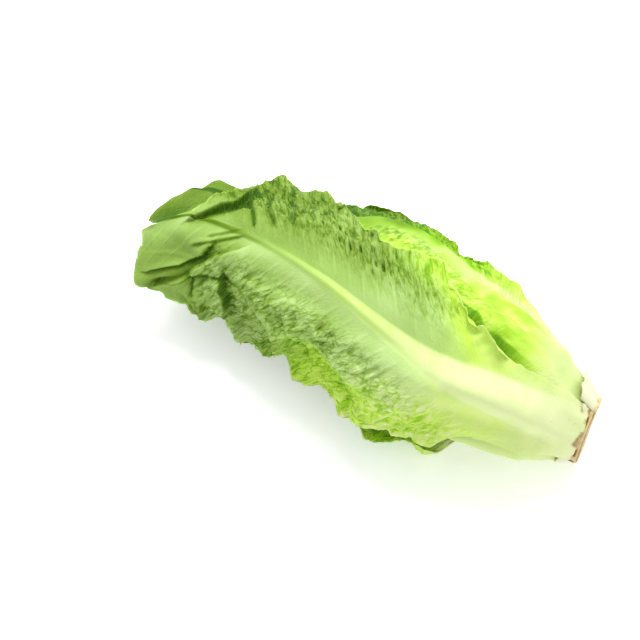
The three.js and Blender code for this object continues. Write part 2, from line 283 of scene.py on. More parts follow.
def thickness(one, s, turned):
    along = s - one.base
    blade = BLADE + THICK_BASE * (1 - smooth(along / THICK_RUN))
    rib = PACKED_RIB if one.root else 1
    radius = outer_radius(s) * (1 - 0.5 * one.k / len(LEAVES))
    across = np.abs(turned) * RAD * radius / rib_half_width(along)
    return blade + rib * rib_height(along) * np.cos(math.pi / 2 * np.clip(across, 0, 1)) ** 2


def edge_weight(one, s, v):
    """How much a point belongs to the leaf's free edge, from 0 to 1."""
    side = rise(np.abs(v), 0.35, 0.65) * rise(s, 40, 60)
    top = smooth((s - one.end(v) + 28) / 28)
    return 1 - (1 - side) * (1 - top)


def flare_of(one, s, v):
    out = by_side(one.flare, v) * smooth(np.abs(v)) * rise(s, 40, 80)
    return out * (1 - 0.5 * rise(s, 230, 50))


def frill_of(one, s, v):
    """The waves of the free edge. They only push outwards, off the leaf below."""
    run = s - WAVE_LEAN * np.abs(v)
    side = np.where(v < 0, SIDES_APART, 0)
    long = np.sin(2 * math.pi * run / LONG_WAVE + one.phase + side)
    short = np.sin(2 * math.pi * run / SHORT_WAVE + 1.7 * one.phase - side)
    return one.frill * edge_weight(one, s, v) * (0.5 + 0.32 * long + 0.18 * short)


def cover_of(one, s, phi):
    """What one leaf adds to the radius of every leaf outside it."""
    turned = turn_from(phi - one.rib(s))
    half = by_side(one.edges, turned, s)
    v = np.clip(turned / half, -1, 1)
    beside = 1 - smooth((np.abs(turned) - half - COVER_MARGIN) / DRAPE)
    above = 1 - smooth((s - one.end(v) - 5) / TIP_DRAPE)
    below = smooth((s - one.base + 12) / 10)
    depth = thickness(one, s, turned) + layer_gap(s) + flare_of(one, s, v)
    depth = depth + one.frill * edge_weight(one, s, v)
    return beside * above * below * depth


def depth_from(k, s, phi):
    """The depth of the leaves from number k inwards."""
    return sum((cover_of(one, s, phi) for one in LEAVES[k:]), 0.0 * (s + phi))


def half_shown(one, turned, s):
    """Half of a leaf's angle on one side, less what is torn off there."""
    return by_side(one.edges, turned, s) - by_side(one.torn, turned, s)


def exposed(one, s, phi):
    """1 where no leaf lies over this one, 0 where one does."""
    bare = 1.0 + 0.0 * (s + phi)
    for other in LEAVES[len(STUBS):one.k]:
        turned = turn_from(phi - other.rib(s))
        half = half_shown(other, turned, s)
        v = np.clip(turned / half, -1, 1)
        beside = fall(np.abs(turned), half, EDGE_BLEND)
        above = fall(s, other.end(v), EDGE_BLEND)
        bare = bare * (1 - beside * above * (s > other.base))
    return bare


# The mean depth of leaves at each station along the head.
STATION_STEP = 4.0
ROUND_STEP = 10.0
stations = STATION_STEP * np.arange(math.ceil(HEAD_LENGTH / STATION_STEP) + 2)
station_grid, round_grid = np.meshgrid(stations, np.arange(0, 360, ROUND_STEP), indexing="ij")
mean_depths = depth_from(len(STUBS), station_grid, round_grid).mean(1)


def inner_radius(s, phi):
    """What the innermost leaf lies on. The leaves outside it settle where more of them overlap."""
    settled = MOST_SETTLED * rise(s, 60, 50)
    mean = np.interp(s, stations, mean_depths)
    return outer_radius(s) - lerp(mean, depth_from(len(STUBS), s, phi), settled)


def lying_radius(one, s, phi):
    return inner_radius(s, phi) + depth_from(one.k + 1, s, phi)


def head_point(s, radius, phi):
    x = HEAD_LENGTH / 2 - s
    y = axis_side(s) + section_wide(s) * radius * np.cos(phi * RAD)
    z = axis_height(s) + section_tall(s) * radius * np.sin(phi * RAD)
    return np.stack(np.broadcast_arrays(x, y, z), -1)


# -- seeded patterns
COLUMN_STIR, ROW_STIR, SEED_STIR, LAST_STIR = 374761393, 668265263, 1442695041, 1274126177
CREST_WIDTH = 0.55  # of the noise's range


def lattice(column, row, seed):
    """Repeatable values from 0 to 1 on whole-number places."""
    mixed = (column * COLUMN_STIR + row * ROW_STIR + seed * SEED_STIR) & 0xFFFFFFFF
    mixed = ((mixed ^ (mixed >> 13)) * LAST_STIR) & 0xFFFFFFFF
    return ((mixed ^ (mixed >> 16)) & 0xFFFF) / 0xFFFF


def squares(x, y):
    x, y = np.broadcast_arrays(x, y)
    return x, y, np.floor(x).astype(np.int64), np.floor(y).astype(np.int64)


def noise(x, y, seed):
    """Smooth noise from -1 to 1."""
    x, y, column, row = squares(x, y)
    across = smooth(x - column)
    up = smooth(y - row)
    low = lerp(lattice(column, row, seed), lattice(column + 1, row, seed), across)
    high = lerp(lattice(column, row + 1, seed), lattice(column + 1, row + 1, seed), across)
    return 2 * lerp(low, high, up) - 1


def cells(x, y, seed):
    """How far a place is from the nearest of scattered spots, and from the walls between them."""
    x, y, column, row = squares(x, y)
    nearest = np.full(x.shape, 9.0)
    second = np.full(x.shape, 9.0)
    for dx in (-1, 0, 1):
        for dy in (-1, 0, 1):
            spot_x = column + dx + lattice(column + dx, row + dy, seed)
            spot_y = row + dy + lattice(column + dx, row + dy, seed + 17)
            away = np.hypot(spot_x - x, spot_y - y)
            second = np.minimum(second, np.maximum(nearest, away))
            nearest = np.minimum(nearest, away)
    return nearest, second - nearest


def crest(x, y, seed):
    """Sharp, wandering crests: 1 along them, 0 in the dells between."""
    return np.clip(1 - np.abs(noise(x, y, seed)) / CREST_WIDTH, 0, 1)


# -- the fine shape of a blade
# What each leaf shows, in mm. Pairs are for its two sides, the one of the lower phi first.
# overlap: how far its foot laps the stem. pucker, wrinkle, buckle, pits: how deep these are. curl, curl_turn,
# curled: how wide its curled edge is, how many radians it turns, and between which s. ruffle, teeth: how far
# its edge waves, and how deep its teeth are. torn_teeth: how much of that the sides' are. bulge: how much
# further its end reaches, at which v, over how much of v. pushed: how far places of its sides are pushed out,
# at which s, over how much of s, on which side. satin: past which s it is smooth. rib_shown, smooth_beside:
# how much of the rib is free of puckers, and over what width beside it they begin. green: how green it is, by
# s. bright: how wide its bright margins are. rib_shade: how much greener its rib is.
PLAIN = dict(
    rows=70, columns=64, seed=1, overlap=0, pucker=(0.5, 0.5), wrinkle=(0.5, 0.5), buckle=0.6, pits=(0, 0),
    curl=(6, 6), curl_turn=(0.8, 0.8), curled=((45, 300), (45, 300)), ruffle=(1, 1), teeth=1.5,
    torn_teeth=(1, 1), bulge=(0, 0, 1), pushed=(), satin=(300, 300), rib_shown=1, smooth_beside=22,
    green=(constant(0.8), constant(0.8)), bright=(12, 12), rib_shade=0, creases=(), strip=False,
)
BEHIND = dict(
    rows=180, columns=130, pucker=(1, 1), wrinkle=(1.6, 1.6), buckle=1.4, curl=(8, 8), curl_turn=(1.2, 1.4),
    ruffle=(2, 2), teeth=2.2, green=(constant(0.95), constant(0.95)), overlap=3.6, rib_shade=0.12,
)


# Folds of the front leaf, most of them in its slumped tip: how far each rises on one side and drops on the
# other, over what width, how much painted shade darkens its bottom, and its path as places of (s, phi).
FRONT_CREASES = (
    (3, 4.6, 6, 0.4, (257, 97), (248, 82), (239, 67), (236, 52)),
    (1.2, 1.6, 3.4, 0.4, (234, 62), (228, 75), (221, 90)),
    (1.2, 2, 4, 0.25, (222, 49), (218, 73), (210, 84)),
    (1, 1.4, 4, 0.2, (212, 40), (205, 62), (200, 76)),
    (1.8, 2.8, 4.4, 0.35, (272, 156), (255, 145), (243, 129), (241, 120)),
    (-3, -2.6, 7, 0, (266, 174), (250, 157), (246, 143), (236, 126), (226, 116)),
    (-1, 1.4, 4, 0.3, (268, 176), (256, 168), (248, 157)),
    (-1.6, 2.6, 4, 0.7, (247, 155), (237, 147), (228, 142)),
    (1, 1.6, 3, 0.5, (246, 156), (244, 172)),
    (-2.6, -3.4, 6, 0.7, (228, 143), (224, 160), (223, 184)),
    (1, 1.4, 3, 0.35, (250, 121), (240, 114), (228, 104)),
    (0.6, 0.9, 3, 0.3, (243, 110), (230, 99)),
    (1.6, 1.8, 6, 0.15, (206, 150), (196, 168), (188, 186)),
    (1.4, 1.6, 6, 0.1, (182, 146), (176, 165), (166, 184)),
)
LOOKS = {
    0: dict(
        rows=330, columns=230, overlap=3.2, pucker=(1.1, 0.9), wrinkle=(1.4, 2.5), buckle=1.8, curl=(9, 9),
        curl_turn=(2, 1.5), curled=((48, 108), (118, 300)), ruffle=(3.4, 2.4), teeth=2.6,
        green=(
            curve((40, 0.95), (80, 1.04), (100, 0.99), (145, 0.94), (190, 0.88), (254, 0.95)),
            curve((60, 0.78), (90, 0.68), (120, 0.7), (150, 0.76), (190, 0.67), (232, 0.67), (254, 0.75)),
        ),
        bright=(26, 66), torn_teeth=(2.4, 1), pits=(1, 0), satin=(300, 236), bulge=(15, 0.07, 0.1),
        pushed=((-10.5, 160, 24, 1), (-8, 212, 20, 1)),
        creases=FRONT_CREASES,
    ),
    1: dict(
        BEHIND, curl=(10, 8), curl_turn=(2, 1.4), curled=((82, 128), (45, 300)), ruffle=(3.4, 2),
        bright=(30, 12), pushed=((10, 106, 26, -1),),
        green=(curve((72, 0.25), (88, 1.1), (150, 1)), constant(0.95)),
    ),
    2: dict(
        BEHIND, rows=240, columns=170, wrinkle=(2.6, 1.8), curl=(7, 8), curl_turn=(1.6, 1.4),
        ruffle=(2.2, 1.5), teeth=3, bulge=(6.5, 0.15, 0.36), pushed=((-4, 125, 36, -1), (-6, 289, 14, 1)),
        satin=(235, 235), rib_shown=0.3, smooth_beside=6, strip=True,
        green=(curve((232, 1), (254, 1.25)), curve((232, 1), (254, 1.2))),
    ),
    3: BEHIND,
    4: BEHIND,
}


def look_with(**own):
    return SimpleNamespace(**{**PLAIN, **own})


NOMINAL_RADIUS = 48  # of the head about its tip
FOLD_TURN = 2.4  # over which a crease goes from its drop to its rise
# the width of the painted shade along a crease's bottom
PAINTED_DARK_WIDTH = 1.3


def creases_at(s, phi, creases):
    """How far the creases lift a blade, in mm, at (s, phi), and the painted shade along their bottoms there.
    """
    total = 0.0 * (s + phi)
    darkest_painted = 0.0 * (s + phi)
    around = NOMINAL_RADIUS * RAD
    x, y = s, around * phi
    for raised, dropped, wide, painted_dark, *places in creases:
        path = [(place, around * angle) for place, angle in places]
        away = np.full(np.shape(total), np.inf)
        signed = np.zeros(np.shape(total))
        for (x0, y0), (x1, y1) in zip(path, path[1:]):
            long = math.hypot(x1 - x0, y1 - y0)
            t = np.clip(((x - x0) * (x1 - x0) + (y - y0) * (y1 - y0)) / long ** 2, 0, 1)
            distance = np.hypot(x - lerp(x0, x1, t), y - lerp(y0, y1, t))
            turn = ((x1 - x0) * (y - y0) - (y1 - y0) * (x - x0)) / long
            signed = np.where(distance < away, np.sign(turn) * distance, signed)
            away = np.minimum(away, distance)
        fading = np.exp(-((away / wide) ** 2))
        total = total + fading * lerp(-dropped, raised, smooth(0.5 + signed / FOLD_TURN))
        # painted shade: a dark line along the bottom of each crease
        darkest_painted = np.maximum(darkest_painted, painted_dark * np.exp(-((away / PAINTED_DARK_WIDTH) ** 2)))
    return total, darkest_painted


ROW_CROWDING = 0.25  # of the grid towards the tip
COLUMN_CROWDING = 0.05  # and towards the rib and the edges
# Coarse and fine teeth: how many there are across the end for 1 of v, how long they are along the sides, from
# which s each side has them, over how much more they grow, and how much of v they take.
END_TEETH = (9, 27)
SIDE_TEETH = (12, 4.3)
TEETH_FROM = (22, 45)
TEETH_RUN = 50
TEETH_DEPTH = 0.2
# Lateral veins leave the rib leaning towards the tip, and bend further that way.
VEIN_LEAN = 0.6
VEIN_BEND = 0.0022
VEIN_GAP = 11
VEINS_APART = 37  # between the two sides' veins
# How long the patterns between the veins are across these and along them.
LARGE_PUCKER = (6.4, 9.5)
SMALL_PUCKER = (3.2, 5.2)
CREST_GAPS = (5, 2.8)
CREST_LENGTHS = (9, 15)  # on the two sides
BUCKLE = (13, 32)
SATIN_BLEND = 18
FINE_FROM = (150, 45)  # from which s and over how much more the wrinkles change by these factors
FINE_WRINKLES = (1.2, 0.8)
PITS_ACROSS = 17  # how far from the rib the pits begin, and between which s they are
PITS_START = 84
PITS_STOP = 172
# The ruffled edge: how wide it is, from which s each side has it, over how much more it grows, its waves.
RUFFLED_SIDE = 20
RUFFLED_END = 16
RUFFLE_FROM = (30, 50)
RUFFLE_RUN = 45
RUFFLES = (7.5, 3.8)
PALEST = 0.42  # of the measure of painted shade and pale veins, which is 0.5 on a smooth blade
CORD_HEIGHT = 0.9  # of the thin raised line along the rib
CORD_WIDTH = 1.7
RIM = 1.8

pale_rib = curve((0, 15), (55, 12.5), (100, 7), (140, 4.4), (170, 3), (200, 2), (240, 1.3), (270, 0.8))


def blade_grid(look):
    rows = np.linspace(0, 1, look.rows + 1)[:, None]
    rows = (1 + ROW_CROWDING) * rows - ROW_CROWDING * rows ** 2
    even = np.linspace(-1, 1, look.columns + 1)[None, :]
    columns = even + COLUMN_CROWDING * np.sin(2 * math.pi * even)
    return np.broadcast_arrays(rows, columns)


def blade_outline(one, look):
    """Where the grid's places are on a blade with a torn, toothed end and sides, and what they lie on."""
    u, v = blade_grid(look)
    side = np.where(v < 0, -1, 1)
    seed = look.seed
    bulge, bulge_at, bulge_wide = look.bulge
    coarse, fine = END_TEETH
    end = one.end(v) + bulge * np.exp(-(((v - bulge_at) / bulge_wide) ** 2))
    teeth = 0.6 + 0.6 * noise(v * coarse, 0.37 * seed, seed) + 0.5 * noise(v * fine, 0.5, seed)
    end = end - look.teeth * teeth
    foot = one.base - look.overlap * (0.75 + 0.45 * noise(v * 5, 0.5, seed + 2))
    s = lerp(foot, end, u)
    half = half_shown(one, v, s)
    radius = lying_radius(one, s, one.rib(s) + v * half)
    coarse, fine = SIDE_TEETH
    lobes = 0.6 + 0.8 * noise(s / coarse, 3.7 * side, seed + 3) + 0.5 * noise(s / fine, 2.1 * side, seed + 4)
    toothed = rise(s, by_side(TEETH_FROM, v), TEETH_RUN)
    side_teeth = look.teeth * by_side(look.torn_teeth, v) * lobes * toothed
    half = half - side_teeth * rise(np.abs(v), 1 - TEETH_DEPTH, TEETH_DEPTH) / (RAD * radius)
    turned = v * half
    phi = one.rib(s) + turned
    lying = lying_radius(one, s, phi)
    across = np.abs(turned) * RAD * lying
    return SimpleNamespace(
        s=s, v=v, side=side, turned=turned, phi=phi, turned_from=phi, lying=lying, across=across,
        to_side=(1 - np.abs(v)) * half * RAD * lying, to_end=end - s, to_foot=s - foot,
        bare=exposed(one, s, phi),
        vein=s - VEIN_LEAN * across - VEIN_BEND * across ** 2 + VEINS_APART * side,
        rib_edge=rib_half_width(s - one.base), grown=smooth((s - one.base - 25) / 80),
    )


def pit_holes(look, at, hole, along_vein):
    """1 in the pits beyond the puckers' row by the rib, 0 elsewhere."""
    pitted = rise(at.across, PITS_ACROSS, 7) * rise(at.s, PITS_START, 20)
    pitted = pitted * fall(at.s, PITS_STOP, 25)
    pitted = pitted * smooth(0.4 + 1.6 * noise(at.vein / 14, along_vein / 13, look.seed + 16))
    return fall(hole, 0.07, 0.14) * pitted * (by_side(look.pits, at.v) > 0)


def add_relief(look, at):
    """Adds how far the blade's puckers, wrinkles and veins stand out, the painted shade in its pits, dells and
    crease bottoms, with paler crests and veins, and how crumpled it is there."""
    s, v, across, vein, seed = at.s, at.v, at.across, at.vein, look.seed
    clear = smooth((across - look.rib_shown * (at.rib_edge + 3)) / look.smooth_beside)
    wander = 1.6 * noise(vein / 9, across / 12, seed + 5)
    along_vein = across + 40 * at.side
    hole, wall = cells((vein + wander) / LARGE_PUCKER[0], along_vein / LARGE_PUCKER[1], seed + 6)
    wall_small = cells((vein - wander) / SMALL_PUCKER[0], along_vein / SMALL_PUCKER[1], seed + 7)[1]
    hollow = 0.6 * smooth(wall / 0.5) + 0.4 * smooth(wall_small / 0.4)
    crest_length = by_side(CREST_LENGTHS, v)
    long_crest = crest((vein + wander) / CREST_GAPS[0], along_vein / crest_length, seed + 13)
    short_crest = crest((vein - wander) / CREST_GAPS[1], 2 * along_vein / crest_length, seed + 14)
    crests = 0.75 * long_crest + 0.5 * short_crest * (1 - 0.5 * long_crest)
    pit_hole = pit_holes(look, at, hole, along_vein)
    ridge = np.abs(np.sin(math.pi * (vein / VEIN_GAP + 0.3 * noise(vein / 30, along_vein / 25, seed + 8))))
    ridges = 0.6 * (1 - smooth(ridge / 0.3)) * rise(across, at.rib_edge, 6) * (1 - 0.6 * clear)
    buckle = look.buckle * noise(vein / BUCKLE[0], along_vein / BUCKLE[1], seed + 9)
    fallen, crease_painted_dark = creases_at(s, at.phi, look.creases)
    calm = clear * fall(s, by_side(look.satin, v), SATIN_BLEND)
    finer = rise(s, *FINE_FROM)
    wrinkled = by_side(look.wrinkle, v) * lerp(1, by_side(FINE_WRINKLES, v), finer)
    rough = by_side(look.pucker, v) * (0.5 - hollow) + wrinkled * (crests - 0.45)
    relief = calm * (rough + buckle - by_side(look.pits, v) * pit_hole) + ridges
    relief = relief * at.grown * lerp(0.35, 1, at.bare) * (1 - 0.4 * np.clip(np.abs(fallen) / 2, 0, 1))
    at.relief = relief + fallen
    # painted shade in dells, hollows, pits and on the side a crease drops to; crests and veins come out paler
    painted_dark = 0.13 * (0.42 - crests) * wrinkled + 0.04 * (hollow - 0.5) + 0.6 * pit_hole
    at.pit = np.clip(0.5 + calm * painted_dark - 0.2 * ridges - 0.08 * fallen + crease_painted_dark, PALEST, 1)
    at.crumpled = np.clip(calm * at.grown * wrinkled / 2, 0, 1)


def ruffle_of(look, at, curling):
    """Uneven waves that stand out more towards the edge."""
    seed = look.seed
    near_side = smooth(1 - at.to_side / RUFFLED_SIDE) * rise(at.s, by_side(RUFFLE_FROM, at.v), RUFFLE_RUN)
    near_edge = np.maximum(near_side, 0.5 * smooth(1 - at.to_end / RUFFLED_END))
    lean = at.s - 0.6 * at.to_side
    coarse, fine = RUFFLES
    wave = noise(lean / coarse, at.to_side / 14 + 5 * at.side, seed + 10)
    wave = wave + 0.5 * noise(lean / fine, at.to_side / 9 + 5 * at.side, seed + 11)
    return by_side(look.ruffle, at.v) * lerp(0.5, 1, curling) * near_edge * (1 + wave) * at.bare


def pushed_out(look, at):
    return sum(
        push * np.exp(-(((at.s - place) / wide) ** 2)) * at.bare * smooth((push_side * at.v - 0.3) / 0.4)
        for push, place, wide, push_side in look.pushed
    )


def curl_edge(look, at, curling):
    """The edge curls out, more in some places than in others."""
    reach = by_side(look.curl, at.v)
    bent = np.clip(reach - at.to_side, 0, None)
    uneven = np.clip(0.45 + 0.75 * noise(at.s / 15, 5.3 * at.side, look.seed + 12), 0, 1)
    angle = by_side(look.curl_turn, at.v) * uneven * curling * at.bare * bent / reach
    at.out = at.out + bent * np.sin(angle / 2) * np.sinc(angle / 2 / math.pi)
    drawn_in = bent * (1 - np.sinc(angle / math.pi))
    at.phi = at.phi - at.side * drawn_in / (RAD * at.lying)


def blade_surface(one, look):
    """The outer face, the thickness and the shading measures of a leaf, over its grid."""
    at = blade_outline(one, look)
    add_relief(look, at)
    s, v = at.s, at.v
    starts, ends = (np.where(v < 0, low, high) for low, high in zip(*look.curled))
    curling = rise(s, starts, 25) * fall(s, ends, 20)
    cord = CORD_HEIGHT * rise(s, 100, 60) * fall(s, 255, 20)
    cord = cord * np.exp(-((at.across / CORD_WIDTH) ** 2))
    own = flare_of(one, s, v) + frill_of(one, s, v)
    body = thickness(one, s, at.turned)
    at.out = at.lying + own + body + at.relief + ruffle_of(look, at, curling) + pushed_out(look, at)
    at.out = at.out + cord * at.bare
    curl_edge(look, at, curling)
    to_edge = np.minimum(at.to_side, at.to_end)
    at.body = body * (1 - 0.5 * smooth(1 - to_edge / 6))
    at.rib = 1 - smooth((at.across - 0.7 * pale_rib(s)) / (0.3 * pale_rib(s) + 0.6))
    at.rim = 1 - smooth(to_edge / RIM)
    at.margin = smooth(1 - at.to_side / by_side(look.bright, v)) * rise(s, 40, 40)
    return at


STUB_SUNK = 2.8  # how far a stub's sides sink into the collar


def leaf_points(one, at):
    """The points of the outer face and then of the inner one."""
    dip = one.root * fall(at.s, one.base, one.root_length) if one.root else 0
    bent = one.lift * rise(at.s, COLLAR_LENGTH, 10)
    if one in STUBS:
        bent = bent - (STUB_SUNK + max(one.lift, 0)) * np.abs(at.v) ** 3
    outer = head_point(at.s, at.out + bent - dip, at.phi)
    inner = head_point(at.s, at.out + bent - dip - at.body, at.phi)
    return outer, inner


# -- meshes
# Where the head's origin is in the coordinates of head_point, from the cut face of its packed stem.
spots = np.array([vertex.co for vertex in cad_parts["stem"].data.vertices]) / MM
cut = spots[spots[:, 0] > spots[:, 0].max() - 0.1]
cut_middle = (cut.min(0) + cut.max(0)) / 2
FOOTPRINT_MIDDLE = np.array([HEAD_LENGTH / 2 - cut_middle[0], -cut_middle[1], 0])
STANDING_PROUD = 1.5  # that curls and folds may stand out of the plain head's box
LONGEST, WIDEST, HIGHEST = (side / MM + STANDING_PROUD for side in cad_box[1])
EASING = 3  # over which what stands out further eases off


def within(values, limit):
    """Values that ease off towards a limit instead of passing it."""
    start = limit - EASING
    over = np.clip(values - start, 0, None)
    return np.minimum(values, start) + EASING * (1 - np.exp(-over / EASING))


def in_place(points):
    """Points in the head's own frame, kept off the floor and within its size."""
    x, y, z = np.moveaxis(points - FOOTPRINT_MIDDLE, -1, 0)
    x = -within(-within(x, LONGEST), LONGEST)
    y = -within(-within(y, WIDEST), WIDEST)
    return np.stack([x, y, np.clip(within(z, HIGHEST), 0, None)], -1)


def grid_faces(at, flipped):
    """The faces of a grid of point numbers."""
    faces = np.stack([at[:-1, :-1], at[1:, :-1], at[1:, 1:], at[:-1, 1:]], -1).reshape(-1, 4)
    return (faces[:, ::-1] if flipped else faces).tolist()


def ring_of(at):
    """The points round the outside of such a grid."""
    return np.concatenate([at[0, :-1], at[:-1, -1], at[-1, :0:-1], at[:0:-1, 0]])


def rim_faces(outer_ring, inner_ring):
    """Joins an outer ring to an inner one of half as many points."""
    start = outer_ring[::2]
    middle = outer_ring[1::2]
    return np.stack([start, middle, np.roll(start, -1), np.roll(inner_ring, -1), inner_ring], -1).tolist()


def add_object(name, data):
    added = bpy.data.objects.new(name, data)
    bpy.context.scene.collection.objects.link(added)
    return added


def add_piece(name, node, points, faces, measures, material):
    mesh = bpy.data.meshes.new(name)
    mesh.from_pydata((points * MM).tolist(), [], faces)
    for measure, values in measures.items():
        kind, field = ("FLOAT_VECTOR", "vector") if values.ndim == 2 else ("FLOAT", "value")
        layer = mesh.attributes.new(measure, kind, "POINT")
        layer.data.foreach_set(field, values.astype(np.float32).ravel())
    mesh.polygons.foreach_set("use_smooth", [True] * len(mesh.polygons))
    mesh.materials.append(material)
    mesh.update()
    piece = add_object(name, mesh)
    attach(piece, "root")
    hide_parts(node)


def both_faces(values):
    """The values at the outer face's points and at the inner one's, which has every other of them."""
    parts = (values, values[::2, ::2])
    return np.concatenate([part.reshape(-1, *values.shape[2:]) for part in parts])


def add_leaf(name, node, one, look, material, measures_of):
    at = blade_surface(one, look)
    outer, inner = leaf_points(one, at)
    points = in_place(np.concatenate([outer.reshape(-1, 3), inner[::2, ::2].reshape(-1, 3)]))
    outside = np.arange(at.s.size).reshape(at.s.shape)
    inside = at.s[::2, ::2]
    inside = outside.size + np.arange(inside.size).reshape(inside.shape)
    faces = grid_faces(outside, False) + grid_faces(inside, True)
    faces += rim_faces(ring_of(outside), ring_of(inside))
    measures = {measure: both_faces(values) for measure, values in measures_of(one, look, at).items()}
    add_piece(name, node, points, faces, measures, material)


# How green a leaf is along its blade and its rib, from 0 for cream to 1 for dark green.
blade_green = curve(
    (0, 0), (12, 0.02), (22, 0.1), (45, 0.23), (70, 0.34), (110, 0.5), (150, 0.66), (200, 0.8), (250, 0.82),
    (HEAD_LENGTH, 0.85),
)
rib_green = curve(
    (0, 0.02), (80, 0.1), (120, 0.2), (160, 0.33), (200, 0.52), (225, 0.72), (240, 0.88), (HEAD_LENGTH, 0.92),
)
# The leaf behind the front one's upper edge shows a dark strip along the head's outline: up to which phi it
# goes, and how green it and the pale band beside it are.
strip_edge = curve((50, 24), (64, 28), (74, 30), (98, 32), (137, 32), (165, 31), (190, 24))
strip_green = curve((50, 0.1), (64, 0.25), (74, 0.4), (98, 0.62), (137, 0.84), (176, 0.98), (195, 0.9))
band_green = curve((40, 0.14), (80, 0.2), (105, 0.3), (140, 0.5), (175, 0.66))
BAND_WIDTH = 14  # degrees
VALLEY_SHADE_WIDTH = 3.8  # degrees that show of the painted shadow in the valley beside the front leaf


def striped(at, green, yellow):
    """The colours of the leaf with the strip: that, a pale band, bright folds, and the valley's painted
    shadow.
    """
    s, phi = at.s, at.turned_from
    near_base = fall(s, 178, 22) * rise(s, 30, 30)
    wavy = 3 * noise(s / 8, phi / 14, 31)
    inside = smooth((phi - strip_edge(s) + wavy + 1) / 6)
    band = 1 - smooth((phi - strip_edge(s) - 6 + 2 * wavy) / BAND_WIDTH)
    folds = 0.38 + 0.2 * noise(s / 6, phi / 4, 32)
    front_edge = front_leaf.rib(s) - front_leaf.edges[0](s)
    # painted shadow where the front leaf's edge overhangs this leaf
    valley_shade = smooth((phi - front_edge + VALLEY_SHADE_WIDTH + 0.8 * wavy) / 2.4)
    valley_shade = valley_shade * rise(s, 20, 12) * fall(s, 94, 12)
    own = lerp(lerp(folds, band_green(s), band), 0.74 + 0.08 * rise(s, 40, 30), valley_shade)
    own = lerp(strip_green(s), own, inside)
    young = lerp(0.95 - 0.7 * rise(s, 125, 30), lerp(0.95, 0.5, band), inside)
    return lerp(green, own, near_base), lerp(yellow, young, near_base)


YOUNG_UP_TO = (100, 155)  # how far along its two sides a bright margin is a young yellow-green
SPECKS_AT = 130  # the phi about which the leaves' feet are specked


def leaf_measures(one, look, at):
    """What the leaf material reads: where each place lies by the veins, its colours, how crumpled it is, and
    the painted shade of its pits, wrinkles and creases."""
    s = at.s
    away = rise(at.across, 2, lerp(40, 24, rise(s, 90, 80)))
    patchy = 0.06 * noise(s / 22, at.across / 17 + 9 * at.side, look.seed + 20)
    hidden = lerp(0.45, 1, at.bare)
    green = by_side(look.green, at.v, s) * blade_green(s) * lerp(0.8, 1.04, away) * hidden
    young = at.margin * fall(s, by_side(YOUNG_UP_TO, at.v), 50)
    green = green + patchy * at.grown - 0.18 * at.rim * at.grown - 0.1 * young
    yellow = 1.2 * young + 0.5 * at.rim + 0.85 * fall(s, 50, 60)
    green = lerp(green, rib_green(s) + look.rib_shade, at.rib)
    yellow = lerp(yellow, 0.5 - 0.45 * rise(s, 140, 70), at.rib)
    if look.strip:
        green, yellow = striped(at, green, yellow)
    speck = rise(noise(s / 1.1, at.turned_from / 3.4, look.seed + 22), 0.8, 0.12)
    speck = speck * rise(s, 6, 4) * fall(s, 16, 8)
    speck = speck * np.exp(-(((at.turned_from - SPECKS_AT) / 12) ** 2))
    torn = 1 - smooth((at.to_foot - 0.5 + 0.8 * noise(at.turned_from / 3, 0.5, look.seed + 23)) / 1.4)
    torn = torn * smooth(0.3 + 1.5 * noise(at.turned_from / 9, 0.5, look.seed + 24))
    return dict(
        place=np.stack([at.vein, at.across, s], -1), green=np.clip(green, 0, 1), yellow=np.clip(yellow, 0, 1),
        # the painted shade of pits, wrinkles and creases, with paler veins, faded out where covered and on the
        # rib
        rib=at.rib, pit=lerp(0.5, at.pit, at.grown * at.bare * (1 - at.rib)),
        scar=np.clip(0.9 * torn + speck, 0, 1), crumpled=at.crumpled,
    )


def stub_measures(one, look, at):
    """What the stem material reads: how brown and scarred each place is."""
    torn = 1 - smooth(at.to_end / 0.9)
    rooted = 1 - smooth((at.s - one.base - 0.6) / 2.4)
    return {"scar": np.clip(0.3 * torn + 0.4 * rooted, 0, 1)}


# -- materials
BRIGHTNESS = 1.5  # the light on the head, in times of what shows white as white


def linear(red, green, blue):
    """A colour as Blender's shaders take it, from the 0 to 255 values of a screen."""
    parts = np.array([red, green, blue]) / 255
    return tuple(np.where(parts <= 0.04045, parts / 12.92, ((parts + 0.055) / 1.055) ** 2.4)) + (1,)


def reflecting(red, green, blue):
    """What a surface has to reflect in that light to show as the given screen colour."""
    return tuple(part / BRIGHTNESS for part in linear(red, green, blue)[:3]) + (1,)


